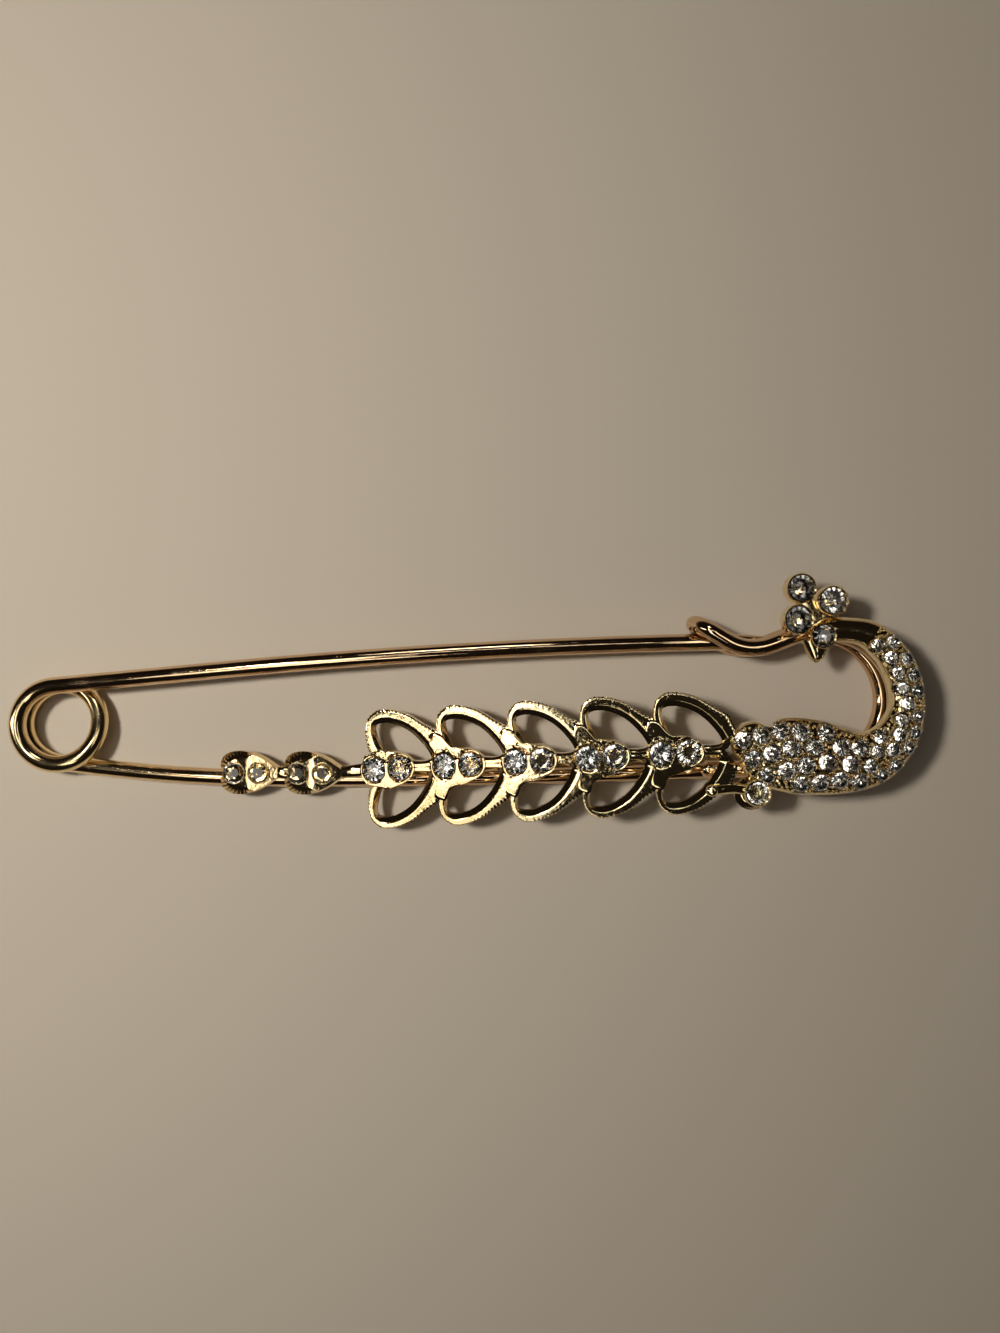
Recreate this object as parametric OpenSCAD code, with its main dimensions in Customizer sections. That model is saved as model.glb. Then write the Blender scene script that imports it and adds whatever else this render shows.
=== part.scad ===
/* [Wire] */
// Diameter of the round wire
wire_d = 1.5; // [1.3:0.05:1.6]
// Gap between strands and turns that lie on each other
level_gap = 0.12; // [0.08:0.02:0.2]
// Radius of the coil's centre line
coil_r = 3.45; // [3.1:0.05:3.8]

/* [Lower arm and curve] */
// Angle at which the lower arm leaves the coil
splay_a = 8; // [6:0.5:10]
// Bend radius of the lower arm's stretch beside the coil
dip_r = 150; // [130:5:170]
// Bend radius of the lower arm's long stretch
rise_r = 930; // [850:10:1100]
// Length of the lower arm's long stretch
rise_l = 47; // [44:0.5:50]
// Radius of the round curve at the head end
curve_r = 5.82; // [5.4:0.02:6.2]
// Length of the front strand that runs back from the round curve
front_l = 10.85; // [9:0.05:12]

/* [Catch] */
// Length of the straight between round curve and catch
nape_l = 1.9; // [1.5:0.1:2.5]
// Bend radius where the catch starts to dip
knee_r = 3; // [2.4:0.1:4]
// Angle at which the catch dips
knee_a = 21; // [17:1:25]
// Length of the slope down into the valley
slope_l = 2.03; // [1.6:0.05:2.4]
// Bend radius of the valley
valley_r = 4.4; // [4:0.1:4.8]
// Angle at which the hook climbs out of the valley
hook_a = 31; // [27:1:35]
// Length of the straight end before the hairpin
hook_l = 1.25; // [1:0.05:1.6]

/* [Pin arm] */
// Length of the straight stretch beside the coil
arm_straight_l = 15; // [12:0.5:18]
// Bend radius of the slightly bowed stretch
arm_bow_r = 570; // [500:10:700]
// Length from the coil to the point
arm_l = 64.6; // [62:0.2:66]
// Length of the ground point
point_l = 5; // [4:0.5:7]
// Diameter of the blunt end of the point
point_tip_d = 0.25; // [0.2:0.05:0.4]
// Gap between the closed pin arm and the hairpin
catch_gap = 0.1; // [0.06:0.02:0.2]
// Gap where the moving turn of the coil meets the fixed one
split_gap = 0.06; // [0.04:0.01:0.1]

/* [Tail] */
// Distance from one pierced heart pair to the next
pair_pitch = 6.22; // [5.9:0.02:6.5]
// Height of one leaf above the tail's middle line
leaf_h = 5.25; // [4.8:0.05:5.6]
// Thickness of the pierced tail
tail_t = 1.15; // [1.1:0.05:1.4]
// Metal left round the stones of a pair
plate_rim = 0.27; // [0.2:0.01:0.35]
// Width of the stems between the pairs
stem_w = 1.14; // [0.9:0.02:1.3]
// Length of a solid heart
heart_l = 5.3; // [5:0.1:5.6]
// Width of a solid heart
heart_w = 3.8; // [3.6:0.1:4.2]
// Thickness of a solid heart
heart_t = 1.45; // [1.3:0.05:1.6]
// How far the hearts' middle lies towards the pin arm from the lower arm
heart_offset = 0.66; // [0.4:0.02:0.9]

/* [Body and head] */
// Thickness of the body at its thickest
body_t = 2.0; // [1.8:0.05:2.3]
// Height of the upright rim of body, neck and head
rim_t = 0.8; // [0.6:0.05:1]
// Height of the round bezels of crest and foot
bezel_t = 1.6; // [1.5:0.05:1.8]
// Wall of the round bezels
bezel_wall = 0.16; // [0.12:0.01:0.2]
// Length of the beak below the middle of the eye
beak_l = 2.3; // [2:0.05:2.6]
// Gap between the casting's back and the wire that carries it
seat_gap = 0.06; // [0.04:0.01:0.1]

/* [Stones] */
// Diameter of a tail stone
tail_stone_d = 1.96; // [1.85:0.01:2.05]
// Distance between the two stones of a pair
pair_gap = 2.26; // [2.2:0.01:2.35]
// Diameter of the hearts' stones
heart_stone_d = 1.8; // [1.6:0.02:1.9]
// Diameter of a crest stone
crest_stone_d = 2.16; // [2:0.02:2.3]
// Diameter of the eye stone
eye_stone_d = 1.8; // [1.6:0.02:1.9]
// Diameter of the foot stone
foot_stone_d = 1.86; // [1.7:0.02:2]
// Diameter of a small stone on the body
pave_d = 1.5; // [1.4:0.01:1.6]
// Diameter of a small stone on the neck
neck_pave_d = 1.2; // [1.12:0.01:1.26]
// Gap between a stone and its setting
stone_gap = 0.06; // [0.05:0.01:0.08]

/* [Hidden] */
$fn = 24;

// Heights of the wire's centre line in its back, middle and front layer
layer_h = wire_d + level_gap;
back_z = wire_d / 2;
mid_z = back_z + layer_h;
front_z = mid_z + layer_h;

// A place on the wire's plan is [x, y, heading]. A step of the wire is [bend radius, angle], positive to
// the left, or [0, length] for a straight.
function step_end(p, s) =
    s[0] == 0
        ? [p[0] + s[1] * cos(p[2]), p[1] + s[1] * sin(p[2]), p[2]]
        : let (r = sign(s[1]) * s[0], h = p[2] + s[1])
          [p[0] + r * (sin(h) - sin(p[2])), p[1] - r * (cos(h) - cos(p[2])), h];

// The place that a wire has reached after its first i steps
function place_at(p, steps, i) = i == 0 ? p : step_end(place_at(p, steps, i - 1), steps[i - 1]);

// The angle that a length takes on a bend
function bend_a(l, r) = l / r * 180 / PI;

// The frame's wire in plan: lower arm, round curve and catch in the back layer, and the same curve and
// catch again in the front layer
hook_steps = [
    [0, nape_l],
    [knee_r, knee_a],
    [0, slope_l],
    [valley_r, -(knee_a + hook_a)],
    [0, hook_l]
];
back_start = [-coil_r * sin(splay_a), -coil_r * cos(splay_a), -splay_a];
rise_a = bend_a(rise_l, rise_r);
back_steps = concat([[dip_r, splay_a], [rise_r, rise_a], [curve_r, 180 - rise_a]], hook_steps);
low_place = place_at(back_start, back_steps, 1);
curve_start = place_at(back_start, back_steps, 2);
curve_c = [curve_start[0] - curve_r * sin(rise_a), curve_start[1] + curve_r * cos(rise_a)];
front_start = [curve_c[0] - front_l, curve_c[1] - curve_r, 0];
front_steps = concat([[0, front_l], [curve_r, 180]], hook_steps);
hook_end = place_at(front_start, front_steps, len(front_steps));

// The pin arm turns about the coil until it lies against the inside of the hairpin
hairpin_c = [hook_end[0] + layer_h * cos(hook_end[2]), hook_end[1] + layer_h * sin(hook_end[2])];
rest_p = hairpin_c - [0, wire_d + catch_gap];
bow_c = [arm_straight_l, coil_r - arm_bow_r];
bow_lean = acos((rest_p * rest_p + bow_c * bow_c - arm_bow_r ^ 2) / (2 * norm(rest_p) * norm(bow_c)));
arm_a = atan2(rest_p[1], rest_p[0]) - atan2(bow_c[1], bow_c[0]) - bow_lean;
arm_start = [-coil_r * sin(arm_a), coil_r * cos(arm_a), arm_a];
arm_bow_l = arm_l - arm_straight_l - point_l;
arm_steps = [[0, arm_straight_l], [arm_bow_r, -bend_a(arm_bow_l, arm_bow_r)]];

// The lower arm's y at an x
function lower_arm_y(x) =
    let (r = x < low_place[0] ? dip_r : rise_r) low_place[1] + r - sqrt(r ^ 2 - (x - low_place[0]) ^ 2);

// The casting's back lies on the front strand at the body and on the lower arm at the hearts
body_z = front_z + wire_d / 2 + seat_gap;
heart_z = back_z + wire_d / 2 + seat_gap;

// The tail slopes from the body's left end down to the hearts
pair_n = 5;
tail_root_share = [-1.46, -0.69];
tail_extra_share = 0.24;
tail_lift = 0.2;
tail_root = curve_c + curve_r * tail_root_share;
tail_l = (pair_n + tail_extra_share) * pair_pitch;
tail_end_x = tail_root[0] - tail_l;
tail_end = [tail_end_x, lower_arm_y(tail_end_x) + heart_offset + tail_lift];
tail_a = atan2(tail_root[1] - tail_end[1], tail_root[0] - tail_end[0]);
tail_tilt = atan2(body_z - heart_z, front_start[0] - tail_end[0]);

// One leaf of a heart pair, from the middle of its two stones. Columns: u as a share of the pitch,
// v as a share of the leaf's height
leaf_outer = [
    [-0.15, 0.2], [-0.2, 0.31], [-0.27, 0.56], [-0.276, 0.79], [-0.19, 0.94], [0, 1],
    [0.2, 0.975], [0.41, 0.87], [0.6, 0.7], [0.74, 0.57]
];
leaf_close = [[0.86, 0.25], [0.7, 0]];
leaf_hole = [
    [-0.1, 0.3], [-0.16, 0.5], [-0.185, 0.69], [-0.11, 0.77], [0.06, 0.755], [0.28, 0.63],
    [0.5, 0.44], [0.62, 0.24], [0.57, 0.135], [0.4, 0.13], [0.3, 0.165], [0.13, 0.25]
];

// Body, neck and head as a row of lenses. Columns: x and y from the middle of the round curve, radius,
// all as shares of the curve's radius, and thickness as a share of the body's
spine = [
    [-1.182, -0.588, 0.301, 0.8],
    [-0.942, -0.742, 0.473, 0.92],
    [-0.598, -0.777, 0.55, 1],
    [-0.254, -0.811, 0.541, 1],
    [0.055, -0.854, 0.49, 1],
    [0.364, -0.863, 0.421, 0.98],
    [0.639, -0.768, 0.378, 0.94],
    [0.863, -0.57, 0.318, 0.9],
    [1.009, -0.313, 0.275, 0.87],
    [1.069, -0.021, 0.235, 0.85],
    [1.043, 0.271, 0.235, 0.85],
    [0.923, 0.564, 0.229, 0.85],
    [0.742, 0.804, 0.215, 0.85],
    [0.502, 0.985, 0.198, 0.85],
    [0.21, 1.045, 0.18, 0.85],
    [-0.065, 1.036, 0.189, 0.88],
    [-0.187, 0.954, 0.175, 0.85]
];
// Places round the head and foot, as shares of the curve's radius from its middle
eye_share = [-0.187, 0.954];
crest_share = [[-0.507, 1.644], [-0.052, 1.464], [-0.546, 1.192]];
crest_root_share = [-0.15, 1.1];
foot_share = [-1.139, -1.311];
ankle_share = [-1.0, -1.05];
toe_share = [[-1.32, -1.27], [-1.5, -1.245], [-1.792, -1.273]];

// The crown of a lens. Columns: share of its radius, share of its height above the rim
crown_profile = [[0, 1], [0.4, 0.92], [0.7, 0.7], [0.9, 0.38], [1, 0]];

// Places of the stones that have settings of their own: [x, y, z of the girdle, diameter]
stone_lip = 0.1;
function at_share(s) = curve_c + curve_r * s;
function seat(s, d) = let (p = at_share(s)) [p[0], p[1], body_z + bezel_t - stone_lip, d];
crest_seats = [for (s = crest_share) seat(s, crest_stone_d)];
eye_seat = seat(eye_share, eye_stone_d);
foot_seat = seat(foot_share, foot_stone_d);

// A cut stone's table radius, crown height, girdle height, pavilion depth and culet radius, as shares of
// the stone's radius
table_r = 0.58;
crown_h = 0.32;
girdle_h = 0.08;
pavilion_h = 0.72;
culet_r = 0.12;

// A round of n points at radius r and height z, turned by a share of one step
function ring(n, r, z, turn) = [
    for (i = [0:n - 1])
        let (a = (i + turn) * 360 / n) [r * cos(a), r * sin(a), z]
];

// Catmull-Rom curve through points, with m steps a span
function spline_point(a, b, c, d, t) =
    0.5 * (2 * b + (c - a) * t + (2 * a - 5 * b + 4 * c - d) * t ^ 2 + (3 * b - a - 3 * c + d) * t ^ 3);
function open_curve(p, m) = [
    for (i = [0:len(p) - 2], k = [0:m - 1])
        spline_point(p[max(i - 1, 0)], p[i], p[i + 1], p[min(i + 2, len(p) - 1)], k / m),
    p[len(p) - 1]
];
function closed_curve(p, m) = let (n = len(p)) [
    for (i = [0:n - 1], k = [0:m - 1])
        spline_point(p[(i + n - 1) % n], p[i], p[(i + 1) % n], p[(i + 2) % n], k / m)
];

// The spine in millimetres: x, y, half width and thickness, with the length along it
spine_mm = [for (s = spine) concat(at_share([s[0], s[1]]), [s[2] * curve_r, s[3] * body_t])];
function flat(p) = [p[0], p[1]];
function spine_l(i) = i == 0 ? 0 : spine_l(i - 1) + norm(flat(spine_mm[i]) - flat(spine_mm[i - 1]));
spine_at = [for (i = [0:len(spine) - 1]) spine_l(i)];
function along(s) =
    let (
        i = max([for (k = [0:len(spine) - 2]) if (k == 0 || spine_at[k] <= s) k]),
        f = (s - spine_at[i]) / (spine_at[i + 1] - spine_at[i])
    ) spine_mm[i] * (1 - f) + spine_mm[i + 1] * f;

// The field of small stones: candidates on a fine net along and across the spine, of which each is kept
// that is clear of all kept before it. A candidate is [x, y, z, heading, tilt, diameter]
pave_start = 0.8;
pave_body_l = 9.5;
pave_stop_over = 0.9;
pave_net = 0.15;
pave_gap = 0.1;
pave_edge = 0.12;
heading_reach = 0.5;
pave_pavilion_h = 0.42;
pave_crown_h = 0.34;
pave_lift = 0.05;
slope_reach = 0.1;
function crown_z(x) = lookup(min(abs(x), 1), crown_profile);
function candidate(s, side, d) =
    let (
        c = along(s),
        ahead = along(s + heading_reach) - along(s - heading_reach),
        h = atan2(ahead[1], ahead[0]),
        v = side * (c[2] - d / 2 - pave_edge),
        x = v / c[2],
        rise = c[3] - rim_t,
        fall = (crown_z(abs(x) - slope_reach) - crown_z(abs(x) + slope_reach)) * rise
    ) [
        c[0] - v * sin(h), c[1] + v * cos(h), body_z + rim_t + rise * crown_z(x), h,
        abs(x) < slope_reach ? 0 : sign(v) * atan2(fall, 2 * slope_reach * c[2]), d
    ];
pave_candidates = [
    for (s = [pave_start:pave_net:spine_l(13) + pave_stop_over], side = [-1:0.1:1])
        candidate(s, side, s < pave_body_l ? pave_d : neck_pave_d)
];
function is_clear(p, kept) =
    len([for (q = kept) if (norm([q[0] - p[0], q[1] - p[1]]) < (p[5] + q[5]) / 2 + pave_gap) q]) == 0;
function kept_of(all, i, kept) =
    i == len(all) ? kept : kept_of(all, i + 1, is_clear(all[i], kept) ? concat(kept, [all[i]]) : kept);
pave_seats = kept_of(pave_candidates, 0, []);

// Wire

// Points that a step of the route passes, without its first
ring_a = 12;
ring_l = 6;
function step_n(s) = s[0] == 0 ? 1 : ceil(max(abs(s[1]) / ring_a, s[0] * abs(s[1]) * PI / 180 / ring_l));
function step_places(p, s) = let (n = step_n(s)) [for (k = [1:n]) step_end(p, [s[0], s[1] * k / n])];
function route(p, steps) =
    concat([p], [for (i = [0:len(steps) - 1]) each step_places(place_at(p, steps, i), steps[i])]);
function backwards(list) = [for (i = [len(list) - 1:-1:0]) list[i]];

// A frame of the wire is [x, y, z, heading, pitch, diameter]. Pitch 180 is a strand that runs back
function frames(places, z, pitch) = [for (p = places) [p[0], p[1], z, p[2], pitch, wire_d]];

// Round section of the wire at a frame
wire_sides = 16;
function wire_ring(f) =
    let (side = [-sin(f[3]), cos(f[3]), 0], up = [-sin(f[4]) * cos(f[3]), -sin(f[4]) * sin(f[3]), cos(f[4])])
    [for (k = [0:wire_sides - 1])
        let (a = k * 360 / wire_sides)
        [f[0], f[1], f[2]] + f[5] / 2 * (cos(a) * side + sin(a) * up)];

// A closed skin over rings that all have as many points, with flat ends
module skin(rings) {
    n = len(rings);
    m = len(rings[0]);
    sides = [
        for (i = [0:n - 2], j = [0:m - 1])
            let (k = (j + 1) % m) [i * m + j, i * m + k, (i + 1) * m + k, (i + 1) * m + j]
    ];
    ends = [[for (j = [m - 1:-1:0]) j], [for (j = [0:m - 1]) (n - 1) * m + j]];
    polyhedron([for (r = rings) each r], turned(concat(sides, ends)), convexity = 8);
}

// A frame on the coil, u degrees clockwise from its top
function coil_frame(u, z, pitch) = [coil_r * sin(u), coil_r * cos(u), z, -u, pitch, wire_d];

// The moving wire: the coil's turn from the split under the arm, rising over its right half, then the arm
right_half = [
    for (u = [0:ring_a:180 - ring_a])
        coil_frame(u, mid_z - layer_h / 2 * (1 + cos(u)), atan2(layer_h / 2 * sin(u), coil_r))
];
left_n = ceil((180 - arm_a) / ring_a);
left_half = [for (k = [0:left_n - 1]) coil_frame(180 + (180 - arm_a) * k / left_n, mid_z, 0)];
arm_route = route(arm_start, arm_steps);
arm_tip = step_end(arm_route[len(arm_route) - 1], [0, point_l]);
pin_frames = concat(
    right_half,
    left_half,
    frames(arm_route, mid_z, 0),
    [[arm_tip[0], arm_tip[1], mid_z, arm_tip[2], 0, point_tip_d]]
);

// The fixed wire: back half turn, lower arm, curve and catch, hairpin, and the front strand back again
split_a = bend_a(split_gap, coil_r);
back_n = ceil((180 - splay_a) / ring_a);
back_half = [
    for (k = [0:back_n - 1])
        let (u = split_a + (180 - splay_a - split_a) * k / back_n)
        [-coil_r * sin(u), coil_r * cos(u), back_z, 180 + u, 0, wire_d]
];
hairpin = [
    for (a = [ring_a:ring_a:180 - ring_a])
        [
            hook_end[0] + layer_h * sin(a) * cos(hook_end[2]),
            hook_end[1] + layer_h * sin(a) * sin(hook_end[2]),
            mid_z - layer_h * cos(a),
            hook_end[2], a, wire_d
        ]
];
wire_frames = concat(
    back_half,
    frames(route(back_start, back_steps), back_z, 0),
    hairpin,
    frames(backwards(route(front_start, front_steps)), front_z, 180)
);

module pin_arm() color("peru") skin([for (f = pin_frames) wire_ring(f)]);

module frame_wire() color("peru") skin([for (f = wire_frames) wire_ring(f)]);

// Stones

function turned(faces) = [for (f = faces) [for (k = [len(f) - 1:-1:0]) f[k]]];

// Brilliant cut with n main facets and its girdle at z = 0
module cut_stone(d, n = 8) {
    r = d / 2;
    points = concat(
        ring(n, table_r * r, crown_h * r, 0.5),
        ring(2 * n, r, 0, 0),
        ring(2 * n, r, -girdle_h * r, 0),
        ring(n, culet_r * r, -(girdle_h + pavilion_h) * r, 0.5)
    );
    top = n;
    low = 3 * n;
    culet = 5 * n;
    m = 2 * n;
    faces = concat(
        [[for (i = [0:n - 1]) i], [for (i = [n - 1:-1:0]) culet + i]],
        [for (i = [0:n - 1]) [i, top + 2 * i, top + 2 * i + 1]],
        [for (i = [0:n - 1]) [i, top + 2 * i + 1, top + (2 * i + 2) % m]],
        [for (i = [0:n - 1]) [i, top + (2 * i + 2) % m, (i + 1) % n]],
        [for (j = [0:m - 1]) [top + j, low + j, low + (j + 1) % m, top + (j + 1) % m]],
        [for (i = [0:n - 1]) [culet + i, low + 2 * i + 1, low + 2 * i]],
        [for (i = [0:n - 1]) [culet + i, low + (2 * i + 2) % m, low + 2 * i + 1]],
        [for (i = [0:n - 1]) [culet + i, culet + (i + 1) % n, low + (2 * i + 2) % m]]
    );
    polyhedron(points, turned(faces));
}

// Small stone with a table, n crown facets twice over and a pointed back
module small_stone(d, n = 8) {
    r = d / 2;
    points = concat(
        ring(n, table_r * r, pave_crown_h * r, 0.5),
        ring(n, r, 0, 0),
        [[0, 0, -pave_pavilion_h * r]]
    );
    faces = concat(
        [[for (i = [0:n - 1]) i]],
        [for (i = [0:n - 1]) [i, n + i, n + (i + 1) % n]],
        [for (i = [0:n - 1]) [i, n + (i + 1) % n, (i + 1) % n]],
        [for (i = [0:n - 1]) [2 * n, n + (i + 1) % n, n + i]]
    );
    polyhedron(points, turned(faces));
}

module at_seat(s) translate([s[0], s[1], s[2]]) children();

// The hole in the metal that a stone sits in, a stone's gap wider and deeper than the stone
module pocket(d) {
    depth = (girdle_h + pavilion_h) * d / 2 + stone_gap;
    translate([0, 0, -depth]) cylinder(d = d + 2 * stone_gap, h = depth + body_t, $fn = 16);
}

// Tail

module on_tail() translate([tail_end[0], tail_end[1], heart_z]) rotate([0, -tail_tilt, tail_a]) children();
function pair_u(k) = (k + 0.5) * pair_pitch;
function tail_stone_u(i) = pair_u(floor(i / 2)) + (i % 2 - 0.5) * pair_gap;
tail_stone_z = tail_t - stone_lip;

function leaf_points(table) = [for (p = table) [p[0] * pair_pitch, p[1] * leaf_h]];

// One pierced heart pair in plan, with the stem that ties it to the next
module pair_plan() {
    stone_r = tail_stone_d / 2 + stone_gap;
    difference() {
        for (side = [0, 1]) mirror([0, side])
            polygon(concat([[0, 0]], open_curve(leaf_points(leaf_outer), 3), leaf_points(leaf_close)));
        for (side = [0, 1]) mirror([0, side])
            polygon(closed_curve(leaf_points(leaf_hole), 2));
    }
    hull() for (side = [-1, 1])
        translate([side * pair_gap / 2, 0]) circle(r = stone_r + plate_rim / (side < 0 ? 1 : 2));
    translate([0, -stem_w / 2]) square([pair_pitch - pair_gap / 2, stem_w]);
}

module tail() {
    on_tail() for (k = [0:pair_n - 1])
        translate([pair_u(k), 0]) linear_extrude(tail_t) pair_plan();
}

// Hearts, counted from the tail outwards
heart_gap = 0.8;
heart_link_l = 0.3;
heart_lobe_share = 0.3;
heart_rim_share = 0.55;
heart_tip_r = 0.5;
heart_stone_edge = 0.42;
heart_stone_bar = 0.34;
function heart_x(k) = tail_end_x - heart_gap - (k + 1) * heart_l - k * heart_link_l;
function heart_place(k) = [heart_x(k), lower_arm_y(heart_x(k) + heart_l / 2) + heart_offset, heart_z];
function heart_stone_place(i) =
    heart_place(floor(i / 2)) + [
        heart_stone_edge + heart_stone_d / 2 + i % 2 * (heart_stone_d + heart_stone_bar),
        0,
        heart_t - stone_lip
    ];

// A round of metal with an upright rim and a domed crown
module lens(r, t, rim) {
    crown = [for (p = backwards(crown_profile)) [p[0] * r, rim + p[1] * (t - rim)]];
    rotate_extrude($fn = 20) polygon(concat([[0, 0], [r, 0]], crown));
}

module heart(k) {
    lobe_r = heart_lobe_share * heart_w;
    rim = heart_rim_share * heart_t;
    translate(heart_place(k)) hull() {
        for (side = [-1, 1])
            translate([lobe_r, side * (heart_w / 2 - lobe_r), 0]) lens(lobe_r, heart_t, rim);
        translate([heart_l - heart_tip_r, 0, 0]) lens(heart_tip_r, heart_t, rim);
    }
}

module hearts() {
    for (k = [0, 1]) heart(k);
    hull() {
        translate(heart_place(1) + [heart_l - heart_tip_r, 0, 0]) cylinder(d = stem_w, h = rim_t, $fn = 12);
        translate(heart_place(0) + [heart_tip_r, 0, 0]) cylinder(d = stem_w, h = rim_t, $fn = 12);
    }
    hull() {
        translate(heart_place(0) + [heart_l - heart_tip_r, 0, 0]) cylinder(d = stem_w, h = rim_t, $fn = 12);
        on_tail() translate([heart_gap, 0, peg_z]) cylinder(d = stem_w, h = rim_t, $fn = 12);
    }
}

// Body, neck and head

// Section of body and neck at a row of the spine, across its heading, with its width drawn in by a share
crown_across = [-0.9, -0.7, -0.4, 0, 0.4, 0.7, 0.9];
function section(p, h, w, t) =
    let (side = [-sin(h), cos(h)], profile = concat(
        [[1, 0], [1, rim_t]],
        [for (x = backwards(crown_across)) [x, rim_t + (t - rim_t) * crown_z(x)]],
        [[-1, rim_t], [-1, 0]]
    ))
    [for (q = profile) [p[0] + q[0] * w * side[0], p[1] + q[0] * w * side[1], body_z + q[1]]];
function spine_a(i) =
    let (a = spine_mm[max(i - 1, 0)], b = spine_mm[min(i + 1, len(spine_mm) - 1)])
    atan2(b[1] - a[1], b[0] - a[0]);

// Angles of the sections that round off the body's left end
end_angles = [75, 50, 25];

module body() {
    first = spine_mm[0];
    back = [cos(spine_a(0)), sin(spine_a(0))];
    rounding = [
        for (a = end_angles)
            let (c = flat(first) - first[2] * sin(a) * back, t = rim_t + (first[3] - rim_t) * cos(a))
            section(c, spine_a(0), first[2] * cos(a), t)
    ];
    skin(concat(
        rounding,
        [for (i = [0:len(spine_mm) - 1]) section(spine_mm[i], spine_a(i), spine_mm[i][2], spine_mm[i][3])]
    ));
}

// A round peg of the bars that join bezels and body
peg_z = 0.15;
module peg(share, d, t)
    translate(concat(at_share(share), [body_z + peg_z])) cylinder(d = d, h = t - peg_z, $fn = 10);

module bezel(s) {
    translate([s[0], s[1], body_z]) cylinder(d = s[3] + 2 * (stone_gap + bezel_wall), h = bezel_t);
}

beak_w = 1.7;
beak_tip_d = 0.84;
beak_t = 1.2;
link_w = 1.2;
toe_bar_d = 0.7;
toe_ball_d = 1.0;
toe_z = 0.6;

module head() {
    eye = at_share(eye_share);
    bezel(eye_seat);
    hull() {
        peg(eye_share, beak_w, beak_t);
        translate([eye[0] - beak_tip_d / 2, eye[1] - beak_l + beak_tip_d / 2, body_z + peg_z])
            cylinder(d = beak_tip_d, h = beak_t - peg_z, $fn = 16);
    }
    for (i = [0:2]) {
        bezel(crest_seats[i]);
        hull() {
            peg(crest_share[i], link_w, rim_t);
            peg(crest_root_share, link_w, rim_t);
        }
    }
}

module foot() {
    bezel(foot_seat);
    hull() {
        peg(foot_share, link_w, rim_t);
        peg(ankle_share, link_w, rim_t);
    }
    toe = concat([foot_share], toe_share);
    last = len(toe) - 1;
    for (i = [0:last - 1]) hull() for (k = [i, i + 1])
        translate(concat(at_share(toe[k]), [body_z + toe_z]))
            sphere(d = k == last ? toe_ball_d : toe_bar_d, $fn = 12);
}

module peacock() {
    color("goldenrod") difference() {
        union() {
            tail();
            hearts();
            body();
            head();
            foot();
        }
        for (i = [0:2 * pair_n - 1])
            on_tail() translate([tail_stone_u(i), 0, tail_stone_z]) pocket(tail_stone_d);
        for (i = [0:3]) translate(heart_stone_place(i)) pocket(heart_stone_d);
        for (s = concat(crest_seats, [eye_seat, foot_seat])) at_seat(s) pocket(s[3]);
        for (s = pave_seats) at_seat(s) rotate([-s[4], 0, s[3]])
            translate([0, 0, pave_lift - pave_pavilion_h * s[5] / 2 - stone_gap])
                cylinder(d = s[5] + 2 * stone_gap, h = body_t, $fn = 8);
    }
}

module tail_stone(i)
    color("white") on_tail() translate([tail_stone_u(i), 0, tail_stone_z]) cut_stone(tail_stone_d);
module heart_stone(i) color("white") translate(heart_stone_place(i)) cut_stone(heart_stone_d);
module seated_stone(s) color("white") at_seat(s) cut_stone(s[3]);
module pave_stones() {
    color("white") for (s = pave_seats)
        at_seat(s) rotate([-s[4], 0, s[3]]) translate([0, 0, pave_lift]) small_stone(s[5]);
}

pin_arm();
frame_wire();
peacock();
for (i = [0:3]) heart_stone(i);
for (i = [0:2 * pair_n - 1]) tail_stone(i);
seated_stone(foot_seat);  // foot_stone
seated_stone(eye_seat);  // eye_stone
for (i = [0:2]) seated_stone(crest_seats[i]);
pave_stones();
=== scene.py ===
import bpy
import numpy as np
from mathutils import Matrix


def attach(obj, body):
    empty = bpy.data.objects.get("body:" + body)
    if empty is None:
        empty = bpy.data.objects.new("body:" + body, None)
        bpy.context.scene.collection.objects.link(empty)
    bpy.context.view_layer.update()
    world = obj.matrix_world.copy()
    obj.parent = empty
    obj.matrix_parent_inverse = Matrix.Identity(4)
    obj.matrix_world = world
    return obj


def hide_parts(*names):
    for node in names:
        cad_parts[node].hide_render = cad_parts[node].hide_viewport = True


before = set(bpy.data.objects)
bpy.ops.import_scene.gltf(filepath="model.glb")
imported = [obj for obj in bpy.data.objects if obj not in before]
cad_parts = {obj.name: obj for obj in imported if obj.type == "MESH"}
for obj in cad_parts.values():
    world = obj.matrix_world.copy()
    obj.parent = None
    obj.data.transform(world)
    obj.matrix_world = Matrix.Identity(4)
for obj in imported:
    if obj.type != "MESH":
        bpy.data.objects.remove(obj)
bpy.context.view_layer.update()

# Pin arm. The sprung half of one length of drawn steel wire, plated rose gold: the moving turn of the
# coil rises out of the split under the arm, and the arm runs on to its ground point, which lies hidden
# under the bird's head. All sizes are in millimetres until a mesh is made.
wire_d = 1.5
layer_h = wire_d + 0.12
back_z = wire_d / 2
mid_z = back_z + layer_h
front_z = mid_z + layer_h
coil_r = 3.45
splay_a, dip_r, rise_r, rise_l = 8, 150, 930, 47
curve_r, front_l = 5.82, 10.85
hook_steps = [(0, 1.9), (3, 21), (0, 2.03), (4.4, -52), (0, 1.25)]
arm_straight_l, arm_bow_r, arm_l, point_l, point_tip_d = 15, 570, 64.6, 5, 0.25
catch_gap, split_gap = 0.1, 0.06


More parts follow.
